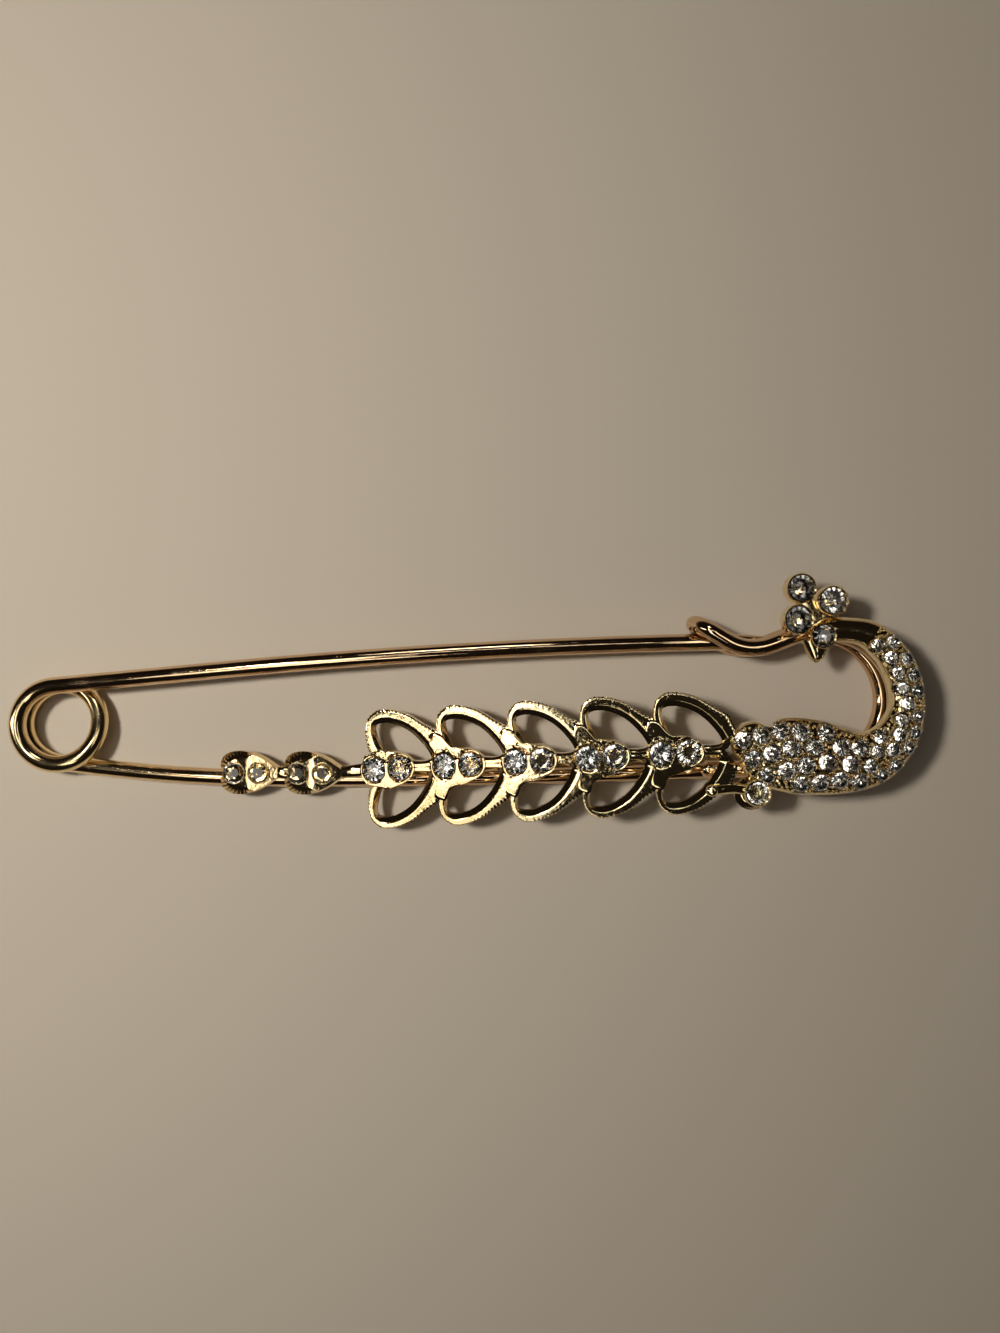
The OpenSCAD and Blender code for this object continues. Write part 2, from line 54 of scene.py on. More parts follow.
def follow(place, steps, spacing=0.3):
    """Rows of x, y and heading along a wire's plan. A step is a bend's radius and its angle, positive to
    the left, on which each row lies on the arc about the bend's centre, or 0 and a straight's length."""
    rows = [np.array([place], float)]
    for radius, amount in steps:
        x, y, heading = rows[-1][-1]
        length = radius * np.radians(abs(amount)) if radius else amount
        t = np.arange(1, int(np.ceil(length / spacing)) + 1)[:, None] / int(np.ceil(length / spacing))
        turn = heading + (amount if radius else 0) * t
        a, b, r = np.radians(turn), np.radians(heading), np.sign(amount) * radius
        if radius:
            step = np.hstack([x + r * (np.sin(a) - np.sin(b)), y - r * (np.cos(a) - np.cos(b)), turn])
        else:
            step = np.hstack([x + length * t * np.cos(b), y + length * t * np.sin(b), turn])
        rows.append(step)
    return np.vstack(rows)


def sweep(path, side, section, widths, heights):
    """Rings of a section carried along a path: each point is the path's, plus the section's first value
    times the half width to the side, plus its second value times the height square to side and path."""
    tangent = np.gradient(path, axis=0)
    tangent /= np.linalg.norm(tangent, axis=1, keepdims=True)
    up = np.cross(tangent, side)
    across = section[None, :, :1] * np.broadcast_to(widths, len(path))[:, None, None]
    upward = section[None, :, 1:] * np.broadcast_to(heights, len(path))[:, None, None]
    return path[:, None] + across * side[:, None] + upward * up[:, None]


def shell(rings, ends="caps"):
    """Points, quads and triangles of a closed surface over rings of equally many points. Its ends are
    closed with a fan round the middle of the end ring, or the last ring joins the first for a loop."""
    n, m = rings.shape[:2]
    points = rings.reshape(-1, 3)
    i, j = np.meshgrid(np.arange(n if ends == "loop" else n - 1), np.arange(m), indexing="ij")
    k, l = (j + 1) % m, (i + 1) % n
    quads = np.stack([i * m + j, i * m + k, l * m + k, l * m + j], -1).reshape(-1, 4)
    triangles = np.zeros((0, 3), int)
    if ends == "caps":
        points = np.vstack([points, rings[0].mean(0), rings[-1].mean(0)])
        j = np.arange(m)
        low = np.stack([(j + 1) % m, j, np.full(m, n * m)], -1)
        high = np.stack([(n - 1) * m + j, (n - 1) * m + (j + 1) % m, np.full(m, n * m + 1)], -1)
        triangles = np.vstack([low, high])
    return outward(points, quads, triangles)


def outward(points, quads, triangles):
    """A closed surface with all its faces turned round where the volume under them is negative."""
    flat = np.vstack([quads[:, [0, 1, 2]], quads[:, [0, 2, 3]], triangles])
    a, b, c = (points[flat[:, corner]] for corner in range(3))
    if (a * np.cross(b, c)).sum() < 0:
        quads, triangles = quads[:, ::-1], triangles[:, ::-1]
    return points, quads, triangles


def make(name, shells, materials, body, node, along=None, kinds=None, cut=(), sharp=None):
    """One mesh object of several shells, in metres, riding on a body and standing for a CAD node. along
    is each point's place on a pattern, kinds the material of each shell or of each of its triangles, and
    cut the materials whose faces are flat facets."""
    corners, sizes, picks, start = [], [], [], 0
    for index, (points, quads, triangles) in enumerate(shells):
        for faces in (quads, triangles):
            if len(faces):
                corners.append((faces + start).reshape(-1))
                sizes.append(np.full(len(faces), faces.shape[1]))
                picks.append(np.broadcast_to(kinds[index] if kinds else 0, len(faces)))
        start += len(points)
    points = np.vstack([s[0] for s in shells]) / 1000
    corners, sizes, picks = np.concatenate(corners), np.concatenate(sizes), np.concatenate(picks)
    mesh = bpy.data.meshes.new(name)
    mesh.vertices.add(len(points))
    mesh.vertices.foreach_set("co", points.reshape(-1))
    mesh.loops.add(len(corners))
    mesh.loops.foreach_set("vertex_index", corners.astype(np.int32))
    mesh.polygons.add(len(sizes))
    mesh.polygons.foreach_set("loop_start", (np.cumsum(sizes) - sizes).astype(np.int32))
    mesh.polygons.foreach_set("material_index", picks.astype(np.int32))
    mesh.polygons.foreach_set("use_smooth", ~np.isin(picks, cut))
    if along is not None:
        pattern = mesh.attributes.new("along", "FLOAT_VECTOR", "POINT")
        pattern.data.foreach_set("vector", np.asarray(along, np.float32).reshape(-1))
    for material in materials:
        mesh.materials.append(material)
    mesh.update()
    mesh.validate()
    if sharp:
        mesh.set_sharp_from_angle(angle=np.radians(sharp))
    piece = bpy.data.objects.new(name, mesh)
    bpy.context.scene.collection.objects.link(piece)
    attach(piece, body)
    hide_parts(node)
    return piece


class Value:
    """A socket in a material's maths. Its operators add Math nodes."""

    def __init__(self, paint, socket):
        self.paint, self.socket = paint, socket

    def maths(self, operation, first, second):
        return self.paint.node("ShaderNodeMath", {"operation": operation}, {0: first, 1: second})

    def __add__(self, other):
        return self.maths("ADD", self, other)

    def __sub__(self, other):
        return self.maths("SUBTRACT", self, other)

    def __rsub__(self, other):
        return self.maths("SUBTRACT", other, self)

    def __mul__(self, other):
        return self.maths("MULTIPLY", self, other)

    __radd__, __rmul__ = __add__, __mul__


class Paint:
    """A material with constants set on its shader, and a method that adds any other node."""

    def __init__(self, name, **constants):
        self.material = bpy.data.materials.new(name)
        self.material.use_nodes = True
        self.tree = self.material.node_tree
        self.shader = self.tree.nodes["Principled BSDF"]
        for socket, value in constants.items():
            self.shader.inputs[socket.replace("_", " ")].default_value = value

    def feed(self, socket, value):
        if isinstance(value, Value):
            self.tree.links.new(value.socket, socket)
        else:
            socket.default_value = value

    def node(self, kind, settings, values, output=0):
        node = self.tree.nodes.new(kind)
        for name, setting in settings.items():
            if name == "stops":
                for stop, (place, colour) in zip(node.color_ramp.elements, setting):
                    stop.position, stop.color = place, colour
            else:
                setattr(node, name, setting)
        for socket, value in values.items():
            self.feed(node.inputs[socket], value)
        return Value(self, node.outputs[output])

    def blend(self, share, first, second):
        return self.node("ShaderNodeMix", {"data_type": "RGBA"}, {0: share, 6: first, 7: second}, 2)

    def between(self, value, low, high):
        return self.node("ShaderNodeMapRange", {"clamp": True}, {"Value": value, 1: low, 2: high})

    def shade(self, **links):
        for socket, value in links.items():
            self.feed(self.shader.inputs[socket.replace("_", " ")], value)
        return self.material


dark_rose, light_rose = (0.68, 0.46, 0.28, 1), (0.88, 0.66, 0.42, 1)
pit_brown, coil_gold = (0.2, 0.1, 0.05, 1), (0.92, 0.74, 0.4, 1)
yellow_span, dull_span = (14, 26), (28, 46)


def drawn_wire():
    """Plated wire: fine draw marks along it, a few rubbed dull patches and tiny pits, all on a pattern
    that runs along and round the wire, in millimetres. Its first lengths, the coil, are yellower and
    duller."""
    paint = Paint("drawn_gold_wire", Metallic=1.0)
    place = paint.node("ShaderNodeAttribute", {"attribute_name": "along"}, {}, 1)
    long = paint.node("ShaderNodeVectorMath", {"operation": "MULTIPLY"}, {0: place, 1: (0.25, 9, 9)})
    marks = paint.node("ShaderNodeTexNoise", {}, {"Vector": long, "Scale": 1.0, "Detail": 4.0})
    rub = paint.node("ShaderNodeTexNoise", {}, {"Vector": place, "Scale": 0.35, "Detail": 3.0})
    rub = paint.between(rub, 0.5, 0.72)
    pits = paint.node("ShaderNodeTexNoise", {}, {"Vector": place, "Scale": 6.0, "Detail": 2.0})
    pits = paint.between(pits, 0.66, 0.76)
    tone = paint.blend(paint.between(marks, 0.35, 0.7), dark_rose, light_rose)
    tone = paint.blend(pits * 0.7, tone, pit_brown)
    bump = paint.node(
        "ShaderNodeBump", {}, {"Strength": 0.16, "Distance": 0.00002, "Height": marks - pits * 0.5}
    )
    length = paint.node("ShaderNodeSeparateXYZ", {}, {"Vector": place})
    yellow = 1 - paint.between(length, *yellow_span)
    dull = 1 - paint.between(length, *dull_span)
    tone = paint.blend(yellow * 0.7, tone, coil_gold)
    worn = 0.06 + rub * marks * 0.22 + yellow * 0.06 + dull * marks * 0.03
    return paint.shade(Base_Color=tone, Roughness=worn, Normal=bump)


wire_look = drawn_wire()


def wire(name, path, headings, radii, body, node):
    """Round wire: circles carried along the path, whose side is level and square to the heading."""
    a = np.radians(headings)
    side = np.stack([-np.sin(a), np.cos(a), np.zeros(len(a))], -1)
    turn = np.linspace(0, 2 * np.pi, 28, endpoint=False)
    circle = np.stack([np.cos(turn), np.sin(turn)], -1)
    rings = sweep(path, side, circle, radii, radii)
    length = np.concatenate([[0], np.cumsum(np.linalg.norm(np.diff(path, axis=0), axis=1))])
    along = np.zeros(rings.shape)
    along[..., 0] = length[:, None]
    along[..., 1:] = circle * wire_d / 2
    along = np.vstack([along.reshape(-1, 3), [[0, 0, 0], [length[-1], 0, 0]]])
    return make(name, [shell(rings)], [wire_look], body, node, along=along, sharp=50)


def blunt(path, radii, edge=0.16):
    """Radii that round off the last rows of a path: each falls short by the edge's circle."""
    left = np.linalg.norm(path - path[-1], axis=1)
    inside = np.clip(1 - left / edge, 0, 1)
    return radii - edge * (1 - np.sqrt(1 - inside**2))


low_start = (-coil_r * np.sin(np.radians(splay_a)), -coil_r * np.cos(np.radians(splay_a)), -splay_a)
rise_a = np.degrees(rise_l / rise_r)
low_place = follow(low_start, [(dip_r, splay_a)])[-1]
curve_start = follow(low_start, [(dip_r, splay_a), (rise_r, rise_a)])[-1]
curve_c = curve_start[:2] + curve_r * np.array([-np.sin(np.radians(rise_a)), np.cos(np.radians(rise_a))])
front_start = (curve_c[0] - front_l, curve_c[1] - curve_r, 0)
front_route = follow(front_start, [(0, front_l), (curve_r, 180), *hook_steps])
hook_x, hook_y, hook_heading = front_route[-1]
hook_way = np.array([np.cos(np.radians(hook_heading)), np.sin(np.radians(hook_heading))])

rest = np.array([hook_x, hook_y]) + layer_h * hook_way - [0, wire_d + catch_gap]
bow_c = np.array([arm_straight_l, coil_r - arm_bow_r])
lean = (rest @ rest + bow_c @ bow_c - arm_bow_r**2) / (2 * np.linalg.norm(rest) * np.linalg.norm(bow_c))
arm_a = np.degrees(np.arctan2(rest[1], rest[0]) - np.arctan2(bow_c[1], bow_c[0]) - np.arccos(lean))
arm_start = (-coil_r * np.sin(np.radians(arm_a)), coil_r * np.cos(np.radians(arm_a)), arm_a)
arm_bow_a = -np.degrees((arm_l - arm_straight_l - point_l) / arm_bow_r)
arm_route = follow(arm_start, [(0, arm_straight_l), (arm_bow_r, arm_bow_a), (0, point_l)])

turn = np.arange(0, 360 - arm_a, 4.0)
rise = np.where(turn < 180, mid_z - layer_h / 2 * (1 + np.cos(np.radians(turn))), mid_z)
coil = np.stack([coil_r * np.sin(np.radians(turn)), coil_r * np.cos(np.radians(turn)), rise], -1)
arm_path = np.vstack([coil, np.c_[arm_route[:, :2], np.full(len(arm_route), mid_z)]])
arm_headings = np.concatenate([-turn, arm_route[:, 2] - 360])
to_tip = np.linalg.norm(arm_path - arm_path[-1], axis=1)
taper = np.clip(to_tip / point_l, 0, 1) ** 0.8
arm_radii = (point_tip_d + (wire_d - point_tip_d) * taper) / 2
wire("sprung_pin_arm", arm_path, arm_headings, blunt(arm_path, arm_radii, 0.1), "pin", "pin_arm")

# Frame wire. The other half of the same wire: half a turn of coil, the lower arm, the round curve and
# the catch in the back layer, then folded over in a hairpin and led back along itself in the front
# layer, where the bird is soldered to it. It ends in a blunt cut in front of the lower arm.
split_a = np.degrees(split_gap / coil_r)
turn = np.linspace(split_a, 180 - splay_a, 46)[:-1]
half = np.c_[-coil_r * np.sin(np.radians(turn)), coil_r * np.cos(np.radians(turn)), 180 + turn - 360]
back = follow(low_start, [(dip_r, splay_a), (rise_r, rise_a), (curve_r, 180 - rise_a), *hook_steps])
bend = np.radians(np.arange(4, 180, 4.0))[:, None]
fold = np.hstack([
    [hook_x, hook_y] + layer_h * np.sin(bend) * hook_way,
    mid_z - layer_h * np.cos(bend),
    np.full((len(bend), 1), hook_heading),
])
frame_rows = np.vstack([
    np.insert(half, 2, back_z, axis=1),
    np.insert(back, 2, back_z, axis=1),
    fold,
    np.insert(front_route[::-1], 2, front_z, axis=1),
])
wire(
    "folded_frame_wire", frame_rows[:, :3], frame_rows[:, 3],
    blunt(frame_rows[:, :3], np.full(len(frame_rows), wire_d / 2), 0.2), "frame", "frame_wire",
)

# Tail. Cast zinc alloy, plated pale gold and polished: five pierced heart pairs in a row, each of two
# leaves with a sloped inner wall and a beaded outer edge, a plate with two set stones between them and a
# short stem to the next. The row slopes down from the body to the hearts on the lower arm.
pair_pitch, leaf_h, tail_t = 6.22, 5.25, 1.15
heart_offset, tail_lift, pair_n = 0.66, 0.2, 5
tail_stone_d, pair_gap, stone_gap, stone_lip, seat_gap = 1.96, 2.26, 0.06, 0.1, 0.06
body_z, heart_z = front_z + wire_d / 2 + seat_gap, back_z + wire_d / 2 + seat_gap
tail_root = curve_c + curve_r * np.array([-1.46, -0.69])
tail_end_x = tail_root[0] - (pair_n + 0.24) * pair_pitch
leaf_outer = np.array([
    (-0.16, 0.2), (-0.24, 0.33), (-0.266, 0.52), (-0.264, 0.7), (-0.22, 0.865), (-0.08, 0.98),
    (0.11, 0.972), (0.335, 0.884), (0.56, 0.705), (0.74, 0.58), (0.86, 0.25), (0.7, 0), (0, 0),
])
leaf_hole = np.array([
    (-0.055, 0.33), (-0.12, 0.51), (-0.148, 0.68), (-0.1, 0.745), (0.01, 0.76), (0.13, 0.735),
    (0.26, 0.67), (0.39, 0.565), (0.52, 0.4), (0.62, 0.22), (0.63, 0.125), (0.5, 0.095),
    (0.38, 0.105), (0.27, 0.19), (0.14, 0.265), (0.01, 0.298),
])


def lower_arm_y(x):
    """Height of the lower arm's middle line in plan, from the circle that the bend lies on."""
    r = dip_r if x < low_place[0] else rise_r
    return low_place[1] + r - np.sqrt(r**2 - (x - low_place[0]) ** 2)


tail_end = np.array([tail_end_x, lower_arm_y(tail_end_x) + heart_offset + tail_lift])
tail_a = np.arctan2(*(tail_root - tail_end)[::-1])
tail_tilt = np.arctan2(body_z - heart_z, front_start[0] - tail_end[0])


def on_tail(points):
    """Points of the flat tail tilted about its end and turned to lie along the lower arm."""
    x, y, z = np.moveaxis(np.asarray(points, float), -1, 0)
    x, z = x * np.cos(tail_tilt) - z * np.sin(tail_tilt), x * np.sin(tail_tilt) + z * np.cos(tail_tilt)
    x, y = x * np.cos(tail_a) - y * np.sin(tail_a), x * np.sin(tail_a) + y * np.cos(tail_a)
    return np.stack([tail_end[0] + x, tail_end[1] + y, heart_z + z], -1)


def curve(points, steps, closed=True):
    """Catmull-Rom curve through points: each span is the cubic that passes its two ends with the slope
    of the chord between their neighbours."""
    n = len(points)
    if closed:
        a, b, c, d = (np.roll(points, shift, axis=0) for shift in (1, 0, -1, -2))
    else:
        full = np.vstack([points[:1], points, points[-1:]])
        a, b, c, d = full[: n - 1], full[1:n], full[2 : n + 1], full[3 : n + 2]
    t = (np.arange(steps) / steps)[None, :, None]
    a, b, c, d = (p[:, None] for p in (a, b, c, d))
    cubic = 2 * b + (c - a) * t + (2 * a - 5 * b + 4 * c - d) * t**2 + (3 * b - a - 3 * c + d) * t**3
    made = (0.5 * cubic).reshape(-1, points.shape[1])
    return made if closed else np.vstack([made, points[-1:]])


def evenly(loop, n):
    """A closed loop's n points at equal steps of its length."""
    loop = np.vstack([loop, loop[:1]])
    length = np.concatenate([[0], np.cumsum(np.linalg.norm(np.diff(loop, axis=0), axis=1))])
    at = np.linspace(0, length[-1], n, endpoint=False)
    return np.stack([np.interp(at, length, loop[:, axis]) for axis in range(loop.shape[1])], -1)


def reach(start, way, outline):
    """Distance from each start along its way to the first line of an outline that it meets, from the
    crossing of the two lines."""
    a, b = outline, np.roll(outline, -1, axis=0)
    line = (b - a)[None]
    gap = a[None] - start[:, None]
    cross = way[:, None, 0] * line[..., 1] - way[:, None, 1] * line[..., 0]
    cross = np.where(np.abs(cross) < 1e-9, 1e-9, cross)
    t = (gap[..., 0] * line[..., 1] - gap[..., 1] * line[..., 0]) / cross
    s = (gap[..., 0] * way[:, None, 1] - gap[..., 1] * way[:, None, 0]) / cross
    return np.where((t > 1e-4) & (s >= -1e-6) & (s <= 1 + 1e-6), t, np.inf).min(1)


def evened(values, width):
    """A loop of values, each the mean of its neighbours within a width."""
    return np.mean([np.roll(values, k) for k in range(-width, width + 1)], axis=0)


def collar(hole, outline, profile, beads=0.0, width=0, seam=None):
    """Metal between a hole and an outline. A row of the profile is a width from the hole, narrowed to
    under half of the way out and to a quarter of it towards -X, a share of what is left of the way to
    the outline, and a height. Beads are raised on the edge by a cosine along it. Where the way ends on
    the seam, an upright line in plan, the height stays at its largest, so that two collars meet there
    level."""
    ahead = np.roll(hole, -1, axis=0) - np.roll(hole, 1, axis=0)
    ahead /= np.linalg.norm(ahead, axis=1, keepdims=True)
    way = np.stack([ahead[:, 1], -ahead[:, 0]], -1)
    way *= np.sign(((hole - hole.mean(0)) * way).sum(1).mean())
    far = reach(hole, way, outline)
    far = np.minimum(far, evened(far, width)) if width else far
    edge = hole + far[:, None] * way
    length = np.cumsum(np.linalg.norm(edge - np.roll(edge, 1, axis=0), axis=1))
    wave = beads * np.cos(2 * np.pi * length / length[-1] * round(length[-1] / bead_pitch))[:, None]
    near, share, height = profile.T
    most = far * (0.45 - 0.2 * np.clip(-way[:, 0], 0, 1))
    offset = near * np.minimum(1, most / near.max())[:, None]
    offset = offset + share * (far[:, None] - offset + 0.4 * wave * (share > 0.9))
    plan = hole[:, None] + offset[..., None] * way[:, None]
    z = height + wave * np.clip((share - 0.82) / 0.18, 0, 1) * (height > 0.5)
    if seam is not None:
        on_seam = evened((np.abs(edge[:, 0] - seam) < 1e-3).astype(float), 1)[:, None]
        level = np.where((near > 0.1) & (height > 0.3), height.max(), height)
        z = z * (1 - on_seam) + level * on_seam
    return np.concatenate([plan, z[..., None]], -1)


def slab(outline, profile):
    """A plate with an outline: rings of the outline drawn in towards its middle by the profile's first
    value, at the height of its second."""
    middle = outline.mean(0)
    plan = middle + profile[:, :1, None] * (outline - middle)[None]
    z = np.broadcast_to(profile[:, 1:, None], plan.shape[:2] + (1,))
    return np.concatenate([plan, z], -1)


pale_gold, deep_gold, pore_brown = (0.96, 0.82, 0.5, 1), (0.93, 0.7, 0.37, 1), (0.16, 0.09, 0.05, 1)


def cast_gold():
    """Polished casting: a pale tone that warms in broad patches, fine orange-peel and polishing marks,
    and small dark pores that the plating left."""
    paint = Paint("cast_pale_gold", Metallic=1.0)
    place = paint.node("ShaderNodeTexCoord", {}, {}, 3)
    patches = paint.node("ShaderNodeTexNoise", {}, {"Vector": place, "Scale": 90.0, "Detail": 2.0})
    peel = paint.node("ShaderNodeTexNoise", {}, {"Vector": place, "Scale": 2600.0, "Detail": 3.0})
    pores = paint.node("ShaderNodeTexNoise", {}, {"Vector": place, "Scale": 3200.0, "Detail": 2.0})
    pores = paint.between(pores, 0.64, 0.74)
    tone = paint.blend(paint.between(patches, 0.35, 0.65), pale_gold, deep_gold)
    tone = paint.blend(pores * 0.8, tone, pore_brown)
    bump = paint.node(
        "ShaderNodeBump", {}, {"Strength": 0.26, "Distance": 0.00004, "Height": peel - pores * 0.4}
    )
    return paint.shade(Base_Color=tone, Roughness=0.04 + peel * 0.09, Normal=bump)


gold_look = cast_gold()
bead_pitch, bead_h = 0.36, 0.06
bar_profile = np.array([
    (0, 0, 0), (0, 0, 0.82), (0.23, 0, 0.98), (0.46, 0, 1.13), (0.46, 0.04, 1.14), (0.46, 0.3, 1.14),
    (0.46, 0.6, 1.14), (0.46, 0.82, 1.14), (0.46, 0.86, 1.13), (0.46, 1, 1.04), (0.46, 1, 0.4),
    (0.46, 0.98, 0),
])
plate_profile = np.array([
    (0, 0, 0.2), (0, 0, 0.94), (0.04, 0, 1.02), (0.08, 0, 1.15), (0.11, 0.04, 1.19), (0.13, 0.2, 1.2),
    (0.13, 0.4, 1.2), (0.13, 0.6, 1.2), (0.13, 0.76, 1.2), (0.13, 0.86, 1.19), (0.13, 0.95, 1.14),
    (0.13, 1, 1.1), (0.13, 1, 0), (0, 0.4, 0),
])
groove_w, groove_depth, groove_slope = 0.34, 0.26, 0.14
lower_stretch, lower_slip = 1.06, 0.055
seat_clear, seat_low, seat_steep = 0.1, 0.5, 8
seam_ends = [(0, 1.58), (0, -1.78)]
floor_profile = np.array([(0.05, 0.24), (0.99, 0.24), (0.99, 0), (0.05, 0)])
plate_corners = np.array([
    (-2.25, 0), (-2.1, 0.75), (-1.9, 1.25), (-2.2, 1.75), (-2.45, 2.4), (-2.2, 2.95), (-1.7, 3.05),
    (-1.2, 2.8), (-0.8, 2.25), (-0.4, 1.76), (0.1, 1.56), (0.92, 1.42), (1.55, 1.2), (2.05, 0.85),
    (2.42, 0.42), (2.56, 0), (2.3, -0.62), (1.72, -1.15), (0.64, -1.62), (-0.3, -1.86), (-0.75, -2.15),
    (-1, -2.7), (-1.25, -3.05), (-1.75, -3), (-2.2, -2.7), (-2.15, -2.2), (-1.8, -1.6), (-2.1, -0.8),
])


def pair_u(k):
    return (k + 0.5) * pair_pitch


def circle_at(x, y, r, n=56):
    """A circle's n points round a place."""
    a = np.linspace(0, 2 * np.pi, n, endpoint=False)
    return np.stack([x + r * np.cos(a), y + r * np.sin(a)], -1)


# The lower leaf of a pair is a little deeper than the upper one and lies further left. Both keep low
# beside the stones' seats. The first pair's plate has no arms that reach left, and on every plate a
# groove runs round the upper side of the stones.
shells = []
stone_r = tail_stone_d / 2 + stone_gap
half_gap = pair_gap / 2
outer = np.vstack([curve(leaf_outer[:10], 8, closed=False), leaf_outer[10:]]) * [pair_pitch, leaf_h]
leaves = []
for side, stretch, slip in ((1, 1, 0), (-1, lower_stretch, lower_slip)):
    hole = (curve(leaf_hole, 8) * [1, stretch] - [slip, 0]) * [pair_pitch, leaf_h]
    leaf = collar(evenly(hole, 240), outer - [0.4 * slip * pair_pitch, 0], bar_profile, bead_h, 3)
    for middle in (-half_gap, half_gap, pair_pitch - half_gap):
        apart = np.hypot(leaf[..., 0] - middle, leaf[..., 1]) - stone_r - seat_clear
        leaf[..., 2] = np.minimum(leaf[..., 2], seat_low + seat_steep * np.clip(apart, 0, 0.2))
    leaves.append(leaf * [1, side, 1])
plate = evenly(curve(plate_corners, 8), 260)
for k in range(pair_n):
    for leaf in leaves:
        shells.append(shell(on_tail(leaf + [pair_u(k), 0, 0]), "loop"))
    high = np.abs(plate[:, 1])
    edge = plate if k else plate[(high < 1.3) | (high < 1.78) & (plate[:, 0] > -0.9)]
    for side in (-1, 1):
        ring = circle_at(side * half_gap, 0, stone_r - 0.02, 120)
        own = edge[edge[:, 0] * side >= 0]
        own = np.vstack([own, seam_ends])
        own = own[np.argsort(np.arctan2(own[:, 1], own[:, 0] - side * half_gap))]
        half = collar(ring, own, plate_profile, seam=0)
        apart = np.hypot(half[..., 0] - side * half_gap, half[..., 1]) - stone_r
        up = np.clip(3 * half[..., 1] - 1.5, 0, 1) * (half[..., 2] > 0.9)
        half[..., 2] -= groove_depth * up * np.clip((groove_w - apart) / groove_slope, 0, 1)
        shells.append(shell(on_tail(half + [pair_u(k), 0, 0]), "loop"))
    shells.append(shell(on_tail(slab(edge, floor_profile) + [pair_u(k), 0, 0])))


def bar(start, end, widths, heights, top=0.2):
    """A short bar between two places, D-shaped across: upright sides and a crown that falls off with the
    cube of the distance from its middle."""
    path = start + np.linspace(0, 1, len(widths))[:, None] * (np.array(end) - start)
    way = (path[-1] - path[0])[:2] / np.linalg.norm((path[-1] - path[0])[:2])
    side = np.tile([-way[1], way[0], 0], (len(path), 1))
    across = np.linspace(-1, 1, 15)
    crown = np.stack([across, 1 - top * np.abs(across) ** 3], -1)
    section = np.vstack([crown, [[1, 0], [-1, 0]]])
    rings = path[:, None] + section[None, :, :1] * (np.array(widths) / 2)[:, None, None] * side[:, None]
    rings[..., 2] += section[None, :, 1] * np.array(heights)[:, None]
    return rings


stem_widths, stem_heights = [1.3, 1.1, 1.0, 1.1, 1.4], [1.0, 1.12, 1.12, 1.12, 1.0]
for k in range(pair_n):
    start = np.array([pair_u(k) + half_gap + stone_r * 0.8, 0, 0])
    end = np.array([pair_u(k) + pair_pitch - half_gap - stone_r * 0.9, 0, 0])
    shells.append(shell(on_tail(bar(start, end, stem_widths, stem_heights))))
make("pierced_tail", shells, [gold_look], "frame", "peacock", sharp=30)

# Hearts. Two solid hearts at the tail's thin end, cast in one with it and soldered flat to the lower arm.
# Each is highest across its middle and falls off to its tip and to its ribbed lobes. A raised ring holds
# each of its two stones, and short bars tie the hearts together.
heart_l, heart_w, heart_t, heart_stone_d = 5.3, 3.8, 1.45, 1.8
heart_gap, heart_link_l = 0.8, 0.3
heart_stone_edge, heart_stone_bar = 0.42, 0.34
heart_half = np.array([
    (0.066, 0), (0.0, 0.13), (0.03, 0.33), (0.15, 0.46), (0.33, 0.5), (0.52, 0.46), (0.67, 0.39),
    (0.8, 0.29), (0.9, 0.19), (0.99, 0.09),
]) * [heart_l, heart_w]
heart_top, heart_edge_drop, heart_lobe_drop, heart_tip_drop = 1.24, 0.34, 0.42, 0.19
heart_rib_h, heart_rib_points = 0.07, 6.5
heart_shares = [0.03, 0.3, 0.5, 0.65, 0.72, 0.78, 0.84, 0.89, 0.93, 0.97, 1]
heart_profile = np.array([(share, heart_top) for share in heart_shares] + [(1, 0.05), (0.97, 0), (0.03, 0)])


def heart_place(k):
    x = tail_end_x - heart_gap - (k + 1) * heart_l - k * heart_link_l
    return np.array([x, lower_arm_y(x + heart_l / 2) + heart_offset, heart_z])


def heart_stone_x(i):
    return heart_stone_edge + heart_stone_d / 2 + i * (heart_stone_d + heart_stone_bar)


def round_body(profile, place, n=40):
    """A turned shape: the profile's radius and height carried round a place."""
    a = np.linspace(0, 2 * np.pi, n, endpoint=False)
    r, z = profile[:, :1], profile[:, 1:]
    x, y = place[0] + r * np.cos(a), place[1] + r * np.sin(a)
    return np.stack([x, y, place[2] + np.broadcast_to(z, (len(z), n))], -1)


# Ribs run over the lobes' edge and fade towards the tip. The top falls off over the edge, to the lobes
# and to the tip.
shells = []
heart_outline = evenly(curve(np.vstack([heart_half, heart_half[:0:-1] * [1, -1]]), 12), 260)
heart = slab(heart_outline, heart_profile)
ribs = np.cos(np.arange(len(heart_outline)) * 2 * np.pi / heart_rib_points)
ribs = ribs * np.clip(1.4 - 2.4 * heart_outline[:, 0] / heart_l, 0, 1)
raised = heart_profile[:, 1:] > 0.3
heart[..., 2] += heart_rib_h * ribs * raised * np.clip(heart_profile[:, :1] - 0.74, 0, 0.2) / 0.2
right = np.clip(2 * heart[..., 0] / heart_l - 1, 0, 1)
left = np.clip(1 - 2 * heart[..., 0] / heart_l, 0, 1) ** 1.5
flat = 0.7 + 0.23 * np.clip(6 * heart[..., 0] / heart_l - 2.4, 0, 1)
edge_fall = np.clip((heart_profile[:, :1] - flat) / (1 - flat), 0, 1)
heart[..., 2] -= raised * (heart_edge_drop * edge_fall + heart_lobe_drop * left + heart_tip_drop * right)
r = heart_stone_d / 2
ring_profile = np.array([
    (r + 0.12, 0.7), (r + 0.1, 1.1), (r + 0.08, 1.22), (r + 0.05, 1.27), (r + 0.03, 1.28),
    (r - 0.02, 1.27), (r - 0.02, 0.7),
])
link_widths, link_heights = [0.9, 1.0, 1.05, 1.1, 1.1], [0.9, 1.0, 1.05, 1.05, 1.0]
